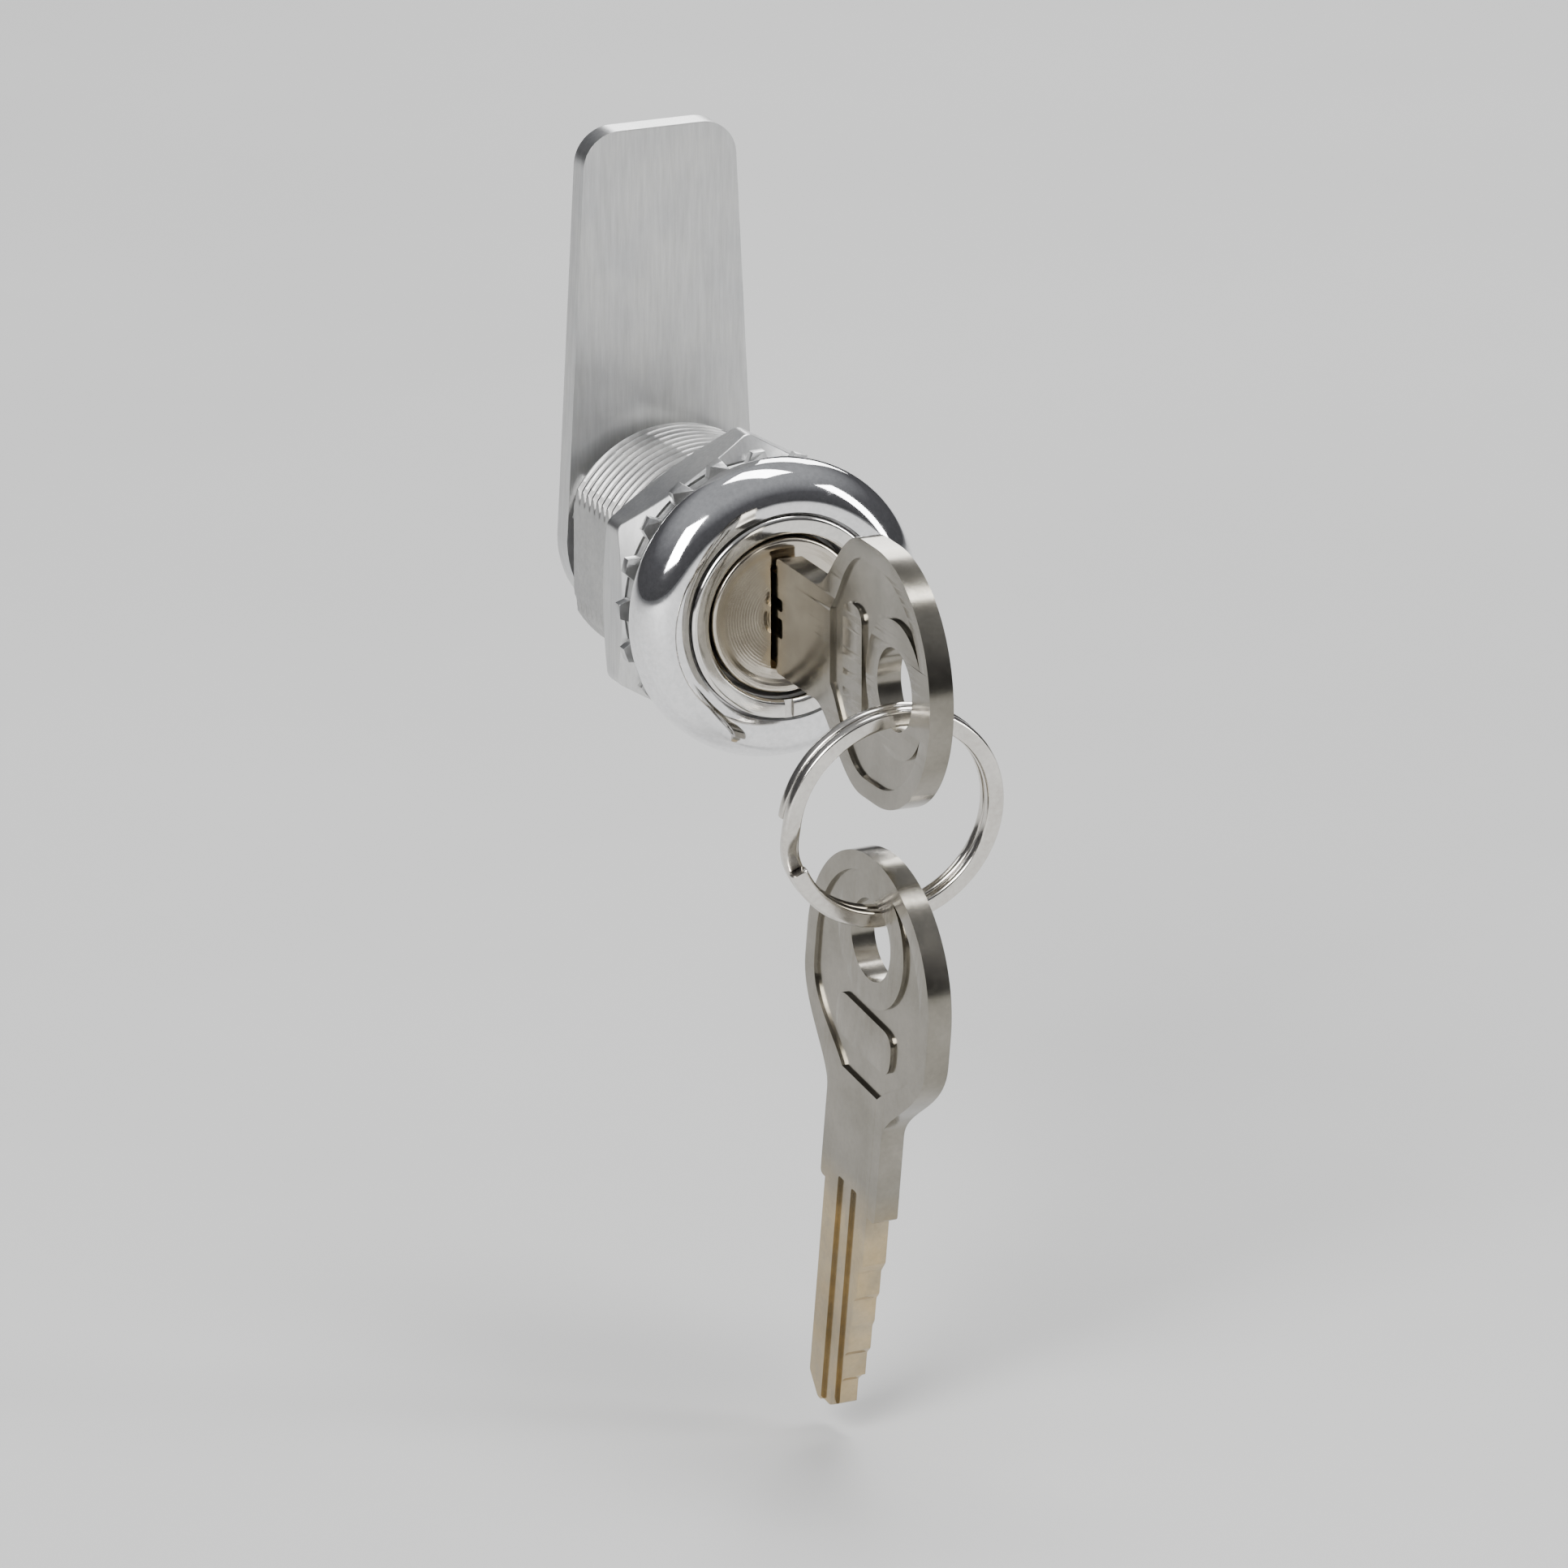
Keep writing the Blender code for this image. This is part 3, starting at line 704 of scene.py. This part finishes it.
def build_washer():
    """The toothed washer; each tooth is twisted so that it bites."""
    outer = WASHER_HIGH.z
    root = outer - TOOTH_DEPTH
    outline = []
    tooth = ((-0.25, root), (-0.12, outer), (0.0, outer), (0.18, outer), (0.3, root))
    for k in range(WASHER_TEETH):
        middle = 2 * math.pi * k / WASHER_TEETH
        for offset, radius in tooth:
            t = middle + offset * 2 * math.pi / WASHER_TEETH
            outline.append((radius * math.sin(t), radius * math.cos(t)))
    bm = plate(outline, WASHER_LOW.y, WASHER_HIGH.y, "Y", [circle(BARREL_R + CLEARANCE, 144)])
    for vert in bm.verts:
        radius = math.hypot(vert.co.x, vert.co.z)
        if radius > root + 0.3:
            turn = math.atan2(vert.co.x, vert.co.z) * WASHER_TEETH / (2 * math.pi)
            vert.co.y += TOOTH_TWIST * (turn - round(turn))
    washer = make_object("tooth_washer_fine", bm)
    soften(washer, 0.08, 2)
    return finish_piece(washer, "lock_body", "plated_steel", "steel", "tooth_washer")


def nut_section(angle):
    """The nut's section at an angle: chamfered hexagon outside, threaded bore inside."""
    flats = NUT_HIGH.x
    sixth = math.pi / 3
    offset = (angle + sixth / 2) % sixth - sixth / 2
    hexagon = min(flats / math.cos(sixth / 2 - abs(offset)), NUT_HIGH.z - 0.12)
    front = NUT_LOW.y
    back = NUT_HIGH.y
    bore = BARREL_R + CLEARANCE
    corner = flats - 0.15
    mouth = bore + NUT_BORE_CHAMFER
    fall = (hexagon - corner) * math.tan(math.radians(NUT_CHAMFER_DEG))
    loop = [
        (mouth, front),
        (corner, front),
        (hexagon - 0.05, front + fall),
        (hexagon, front + fall + 0.08),
        (hexagon, back - fall - 0.08),
        (hexagon - 0.05, back - fall),
        (corner, back),
        (mouth, back),
    ]
    rows = 32
    for k in range(rows + 1):
        y = back - NUT_BORE_CHAMFER - (back - front - 2 * NUT_BORE_CHAMFER) * k / rows
        crest = thread_height(y / THREAD_PITCH - angle / (2 * math.pi))
        loop.append((bore + NUT_THREAD_DEPTH * crest, y))
    return loop


def build_nut():
    nut = make_object("nut_fine", skin(nut_section, 240), sharp_deg=25)
    return finish_piece(nut, "lock_body", "plated_steel", "steel", "mounting_nut")


# The turning plug


def build_face():
    """The plug's cap: a rounded rim, a shallow turned step and the keyhole."""
    front = FACE_LOW.y
    back = FACE_HIGH.y
    profile = [(FACE_R - 0.1, back), (FACE_R, back - 0.1)]
    profile += [(r, y) for r, y in arc((FACE_R - 0.35, front + 0.35), 0.35, 0, -90, 6)]
    profile += [(FACE_R - 0.75, front), (FACE_R - 0.95, front + 0.12), (FACE_R - 1.3, front + 0.16)]
    profile += [(FACE_R * 0.4, front + 0.06), (0.3, front + 0.04)]
    face = make_object("plug_face_fine", turned_solid(profile, 160))
    half_width = KEYHOLE_HALF_WIDTH
    half_height = KEYHOLE_HALF_HEIGHT
    hole = filleted(rectangle(-half_width, half_width, -half_height, half_height), 0.35)
    boolean(face, "DIFFERENCE", plate(hole, front - 2, back + 2, "Y"))
    soften(face, 0.09, 3, angle_deg=50)
    return finish_piece(face, "plug_assembly", "nickel_face", "nickel_cap", "plug_face")


def build_stop_washer():
    edge = math.degrees(math.asin(TAB_HALF / STOP_R))
    outline = arc((0, 0), STOP_R, -90 + edge, 270 - edge, 96)
    tab = [(-TAB_HALF, STOP_LOW.z + 0.3), (-TAB_HALF + 0.3, STOP_LOW.z)]
    tab += [(TAB_HALF - 0.3, STOP_LOW.z), (TAB_HALF, STOP_LOW.z + 0.3)]
    hole = filleted(clipped_square(SHANK_HALF + CLEARANCE), 0.2, 2)
    bm = plate(outline + tab, STOP_LOW.y, STOP_HIGH.y, "Y", [hole])
    washer = make_object("stop_washer_fine", bm)
    soften(washer, 0.1, 3)
    return finish_piece(washer, "plug_assembly", "plated_steel", "steel", "stop_washer")


def build_cam():
    """The stamped cam strap with rounded tip and softly rolled edges."""
    inner = CAM_TIP_HALF - CAM_TIP_CORNER
    top = CAM_HIGH.z - CAM_TIP_CORNER
    outline = arc((0, 0), CAM_HIGH.x, -180, 0, 72)
    outline += arc((inner, top), CAM_TIP_CORNER, 0, 90, 16)
    outline += arc((-inner, top), CAM_TIP_CORNER, 90, 180, 16)
    hole = filleted(clipped_square(SHANK_HALF + CLEARANCE), 0.2, 2)
    cam = make_object("cam_fine", plate(outline, CAM_LOW.y, CAM_HIGH.y, "Y", [hole]))
    soften(cam, 0.22, 4)
    return finish_piece(cam, "plug_assembly", "plated_steel", "steel", "cam")


def build_lock_washer():
    """The split washer: one turn of square wire with its ends sprung apart."""
    outer = SPLIT_HIGH.x
    inner = 2.15
    middle_y = (SPLIT_LOW.y + SPLIT_HIGH.y) / 2
    half = (SPLIT_HIGH.y - SPLIT_LOW.y) / 2
    corners = filleted(rectangle(inner, outer, -half + 0.08, half - 0.08), 0.15, 2)
    steps = 96
    path = [math.radians(52 + 346 * k / steps) for k in range(steps + 1)]

    def section(k):
        lift = middle_y - 0.08 + 0.16 * k / steps
        angle = path[k]
        return [(r * math.cos(angle), lift + y, r * math.sin(angle)) for r, y in corners]

    washer = make_object("cam_lock_washer_fine", swept(path, section))
    return finish_piece(washer, "plug_assembly", "spring_steel", "spring_steel", "cam_lock_washer")


def build_screw():
    """Pan-head screw with a cross recess and a threaded shank."""
    head_r = SCREW_HIGH.x
    top = SCREW_HIGH.y
    seat = top - SCREW_HEAD_HEIGHT
    rim = seat + SCREW_RIM
    tip = SCREW_LOW.y
    profile = [(SHANK_R - 0.5, tip), (SHANK_R - 0.05, tip + 0.45)]
    turns = int((seat - tip - 1.2) / SCREW_PITCH)
    for k in range(turns * 4):
        profile.append((SHANK_R - SCREW_THREAD[k % 4], tip + 0.5 + SCREW_PITCH / 4 * k))
    profile += [(SHANK_R, seat - 0.3), (SHANK_R, seat), (head_r - 0.15, seat)]
    profile += [(head_r, seat + 0.15), (head_r, rim)]
    dome_steps = 12
    for k in range(1, dome_steps + 1):
        t = math.radians(78 * k / dome_steps)
        profile.append((head_r * math.cos(t), rim + SCREW_DOME * math.sin(t)))
    profile.append((0.12 * head_r, top))
    screw = make_object("cam_screw_fine", turned_solid(profile, 96))
    a = CROSS_HALF
    b = CROSS_REACH
    cross = [
        (a, a), (a, b), (-a, b), (-a, a), (-b, a), (-b, -a),
        (-a, -a), (-a, -b), (a, -b), (a, -a), (b, -a), (b, a),
    ]
    recess = plate(filleted(cross, 0.15, 3), top - CROSS_DEPTH, top + 1, "Y")
    boolean(screw, "DIFFERENCE", recess)
    soften(screw, 0.06, 2, angle_deg=45)
    return finish_piece(screw, "plug_assembly", "plated_steel", "steel", "cam_screw")


def build_springs():
    """The five small springs over the wafers' lugs."""
    wire = SPRING_WIRE_R
    steps = 20 * SPRING_TURNS
    for number in range(len(CUT_TOPS)):
        name = f"wafer_spring_{number + 1}"
        low, high = node_box(name)
        centre = (low + high) / 2
        radius = (high.x - low.x) / 2 - wire

        def section(k):
            angle = 2 * math.pi * SPRING_TURNS * k / steps
            z = low.z + wire + (high.z - low.z - 2 * wire) * k / steps
            loop = []
            for s in range(8):
                around = 2 * math.pi * s / 8
                r = radius + wire * math.cos(around)
                x = centre.x + r * math.cos(angle)
                y = centre.y + r * math.sin(angle)
                loop.append((x, y, z + wire * math.sin(around)))
            return loop

        spring = make_object(f"{name}_fine", swept(range(steps + 1), section), sharp_deg=60)
        finish_piece(spring, "plug_assembly", "spring_steel", "spring_steel", name)
        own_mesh(spring)


# Keys and ring


def key_outline():
    """The key from the side: the shoulder at 0, the tip at +, the bow at -, the cuts on top."""
    blade_top = [(0.0, BLADE_TOP), (FIRST_CUT - 1.9, BLADE_TOP)]
    for number, height in enumerate(CUT_TOPS):
        middle = FIRST_CUT + CUT_PITCH * number
        blade_top += [(middle + CUT_START, height), (middle + CUT_END, height)]
    tip = [(BLADE_LENGTH, -0.4), (BLADE_LENGTH, -2.0), (BLADE_LENGTH - 1.6, BLADE_SPINE)]
    blade = filleted(blade_top + tip + [(0.0, BLADE_SPINE)], 0.45, 4)
    side_low = bezier(
        (-NECK_LENGTH, NECK_LOW), (-NECK_BEND, NECK_LOW),
        (-BOW_BEND, BOW_Z - BOW_R), (-BOW_SIDE_END, BOW_Z - BOW_R), 20,
    )
    bow = arc((-BOW_CENTRE, BOW_Z), BOW_R, 270, 90, 80)
    side_high = bezier(
        (-BOW_SIDE_END, BOW_Z + BOW_R), (-BOW_BEND, BOW_Z + BOW_R),
        (-NECK_BEND, NECK_HIGH), (-NECK_LENGTH, NECK_HIGH), 20,
    )
    low_corner = arc((-0.4, NECK_LOW + 0.4), 0.4, 0, -90, 4)
    high_corner = arc((-0.4, NECK_HIGH - 0.4), 0.4, 90, 0, 4)
    inner_blade = [p for p in blade if p[0] > 0.4]
    outline = [(0.0, BLADE_TOP)] + inner_blade + [(0.0, BLADE_SPINE)]
    return outline + low_corner + side_low + bow + side_high + high_corner


def key_local(points):
    """Outline points, from the shoulder's frame to the bow hole's."""
    return [(y + HOLE_FROM_SHOULDER, z - BOW_Z) for y, z in points]


def field_outline():
    """The sunk field on the bow: inside the rim, and narrowing into the neck."""
    radius = BOW_R - FIELD_RIM
    bow = arc((-BOW_CENTRE, 0), radius, 270, 90, 60)
    foot = bezier((-BOW_SIDE_END - 0.6, radius), (-13.4, radius), (-12.4, 4.8), (-10.4, 3.0), 14)
    mirrored = [(y, -z) for y, z in reversed(foot)]
    return [(y, z + BOW_Z) for y, z in bow + foot + mirrored]


def side_plate(outline, side, low, high):
    """A plate over one of the key's faces, between two heights above the key's middle."""
    near, far = sorted((side * low, side * high))
    return plate(key_local(outline), near, far, "X")


def key_mesh():
    """A plated key: sunk field with an eyelet and a raised bar, blade grooves, tumbled edges."""
    half = KEY_THICK / 2
    hole = circle(HOLE_R, 72)
    key = make_object("key_fine", plate(key_local(key_outline()), -half, half, "X", [hole]))
    eyelet = circle(EYELET_R, 72, (-HOLE_FROM_SHOULDER, BOW_Z))
    bar = filleted(rectangle(BAR_FAR, BAR_NEAR, BOW_Z - BAR_HALF, BOW_Z + BAR_HALF), 1.5, 6)
    for side in (-1, 1):
        field = make_object("field", side_plate(field_outline(), side, half - FIELD_DEPTH, half + 1))
        for island in (eyelet, bar):
            boolean(field, "DIFFERENCE", side_plate(island, side, half - 1, half + 2))
        combine(key, "DIFFERENCE", field)
        for low, high in GROOVES:
            groove = filleted(rectangle(GROOVE_START, BLADE_LENGTH + 2, low, high), 0.3, 4)
            boolean(key, "DIFFERENCE", side_plate(groove, side, half - GROOVE_DEPTH, half + 1))
    soften(key, 0.17, 3, angle_deg=40)
    return key


def place(*steps):
    """One matrix from moves (a vector in millimetres) and turns (an axis and degrees)."""
    whole = Matrix.Identity(4)
    for step in steps:
        if isinstance(step[0], str):
            whole = whole @ Matrix.Rotation(math.radians(step[1]), 4, step[0])
        else:
            whole = whole @ Matrix.Translation(Vector(step) * MM)
    return whole


def settle(obj, matrix):
    """Carry an object to its place inside its mesh, so that its box is exact."""
    obj.data.transform(matrix)
    obj.data.update()


def ring_hanger():
    """From the wire's rest in the inserted key's hole to the ring's centre."""
    middle = RING_OUTER_R - RING_WALL / 2
    return (
        (RING_CENTRE.x, HOLE_Y, BOW_Z - WIRE_IN_HOLE), ("X", RING_TILT_DEG), (0, 0, -middle),
    )


def build_keys():
    inserted = key_mesh()
    inserted.name = "inserted_key_fine"
    along = inserted.data.attributes.new("along_blade", "FLOAT", "POINT")
    for number, vertex in enumerate(inserted.data.vertices):
        along.data[number].value = vertex.co.y / MM - HOLE_FROM_SHOULDER
    spare = bpy.data.objects.new("spare_key_fine", inserted.data.copy())
    bpy.context.collection.objects.link(spare)
    settle(inserted, place((0, HOLE_Y, BOW_Z)))
    finish_piece(inserted, "key_in_lock", "nickel_key", "nickel_key", "inserted_key")
    to_wire = ((0, 0, RING_WALL / 2 - RING_OUTER_R), ("X", SPARE_TILT_DEG - RING_TILT_DEG))
    to_hole = ((0, 0, -WIRE_IN_HOLE), ("Z", SPARE_YAW_DEG), ("X", 90), ("Z", 180))
    settle(spare, place(*ring_hanger(), *to_wire, *to_hole))
    finish_piece(spare, "hanging_key", "nickel_key", "nickel_key", "spare_key")


def build_ring():
    """Two turns of flattened wire that pass from one side to the other in a short jog."""
    offset = RING_WIDTH / 4 + 0.005
    wire_half = RING_WIDTH / 4 - 0.015
    middle = RING_OUTER_R - RING_WALL / 2
    corners = filleted(rectangle(-RING_WALL / 2, RING_WALL / 2, -wire_half, wire_half), 0.36, 5)
    total = 720.0 - JOG_DEG
    steps = 420

    def section(k):
        turn = total * k / steps
        t = max(0.0, min(1.0, (turn - (360 - JOG_DEG)) / JOG_DEG))
        ease = t * t * (3 - 2 * t)
        side = offset * (2 * ease - 1)
        angle = math.radians(WIRE_START_DEG + turn)
        x = math.cos(angle)
        z = math.sin(angle)
        return [((middle + r) * x, side + y, (middle + r) * z) for r, y in corners]

    ring = make_object("split_ring_fine", swept(range(steps + 1), section))
    soften(ring, 0.08, 2, angle_deg=60)
    settle(ring, place(*ring_hanger()))
    return finish_piece(ring, "ring", "ring_nickel", "ring_steel", "split_ring")


def paint_cad_nodes():
    """The plug and wafers keep their CAD shapes and get their metal."""
    for name in ["plug"] + [f"wafer_{k + 1}" for k in range(len(CUT_TOPS))]:
        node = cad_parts[name]
        node.data.materials.clear()
        node.data.materials.append(MATERIALS["brass"])


# Stage, light and camera


def build_stage():
    floor_z = CAD_BOX[0][2] - FLOOR_DROP
    bm = bmesh.new()
    bmesh.ops.create_grid(bm, x_segments=8, y_segments=8, size=FLOOR_HALF)
    floor = make_object("floor", bm)
    floor.location.z = floor_z
    nodes = Nodes("floor")
    paper = nodes.noise(9.0, detail=8.0)
    tone = nodes.ramp(paper, [(0.3, (0.50, 0.50, 0.495)), (0.7, (0.54, 0.54, 0.535))])
    nodes.link(tone, nodes.shader.inputs["Base Color"])
    nodes.shader.inputs["Roughness"].default_value = 0.75
    floor.data.materials.append(nodes.material)


def area_light(name, place, size, energy, target):
    light = bpy.data.lights.new(name, "AREA")
    light.shape = "RECTANGLE"
    light.size = size[0]
    light.size_y = size[1]
    light.energy = energy
    obj = bpy.data.objects.new(name, light)
    bpy.context.collection.objects.link(obj)
    obj.location = place
    obj.rotation_mode = "QUATERNION"
    obj.rotation_quaternion = (Vector(target) - Vector(place)).to_track_quat("-Z", "Y")
    obj.visible_camera = False


def build_lights(target):
    """Softboxes that stand apart, so that plated surfaces show them with dark gaps between."""
    area_light("key_softbox", (-0.62, -0.60, 0.50), (0.42, 0.52), 15.0, target)
    area_light("fill_softbox", (0.80, -0.62, 0.30), (0.22, 0.70), 6.5, target)
    area_light("top_softbox", (0.15, 0.10, 0.95), (0.70, 0.30), 8.0, target)
    area_light("rear_softbox", (0.50, 0.80, 0.50), (0.50, 0.50), 6.0, target)
    world = bpy.data.worlds.new("studio")
    bpy.context.scene.world = world
    world.use_nodes = True
    tree = world.node_tree
    background = tree.nodes["Background"]
    coords = tree.nodes.new("ShaderNodeTexCoord")
    split = tree.nodes.new("ShaderNodeSeparateXYZ")
    ramp = tree.nodes.new("ShaderNodeValToRGB")
    tree.links.new(coords.outputs["Generated"], split.inputs["Vector"])
    tree.links.new(split.outputs["Z"], ramp.inputs["Fac"])
    stops = ramp.color_ramp
    stops.elements[0].position = 0.0
    stops.elements[0].color = (0.10, 0.10, 0.105, 1)
    stops.elements[1].position = 0.8
    stops.elements[1].color = (0.55, 0.56, 0.58, 1)
    stops.elements.new(0.35).color = (0.13, 0.13, 0.14, 1)
    seen = tree.nodes.new("ShaderNodeLightPath").outputs["Is Camera Ray"]
    paper = tree.nodes.new("ShaderNodeMix")
    paper.data_type = "RGBA"
    paper.inputs["B"].default_value = (0.72, 0.72, 0.725, 1)
    tree.links.new(seen, paper.inputs["Factor"])
    tree.links.new(ramp.outputs["Color"], paper.inputs["A"])
    tree.links.new(paper.outputs["Result"], background.inputs["Color"])
    background.inputs["Strength"].default_value = 0.7


def build_camera(target):
    a = math.radians(VIEW_AZIMUTH)
    e = math.radians(VIEW_ELEVATION)
    back = Vector((math.sin(a) * math.cos(e), -math.cos(a) * math.cos(e), math.sin(e)))
    camera = bpy.data.cameras.new("camera")
    obj = bpy.data.objects.new("camera", camera)
    bpy.context.collection.objects.link(obj)
    obj.location = target + back * VIEW_DISTANCE
    obj.rotation_mode = "QUATERNION"
    obj.rotation_quaternion = (-back).to_track_quat("-Z", "Y")
    camera.sensor_width = SENSOR_WIDTH
    camera.lens = SENSOR_WIDTH * VIEW_DISTANCE / FIELD_WIDTH
    camera.clip_start = 0.05
    camera.clip_end = 20.0
    bpy.context.scene.camera = obj


def main():
    build_housing()
    build_bezel()
    build_lip()
    build_washer()
    build_nut()
    build_face()
    build_stop_washer()
    build_cam()
    build_lock_washer()
    build_screw()
    build_springs()
    build_keys()
    build_ring()
    paint_cad_nodes()
    low, high = Vector(CAD_BOX[0]), Vector(CAD_BOX[1])
    target = (low + high) / 2
    build_stage()
    build_lights(target)
    build_camera(target)


main()
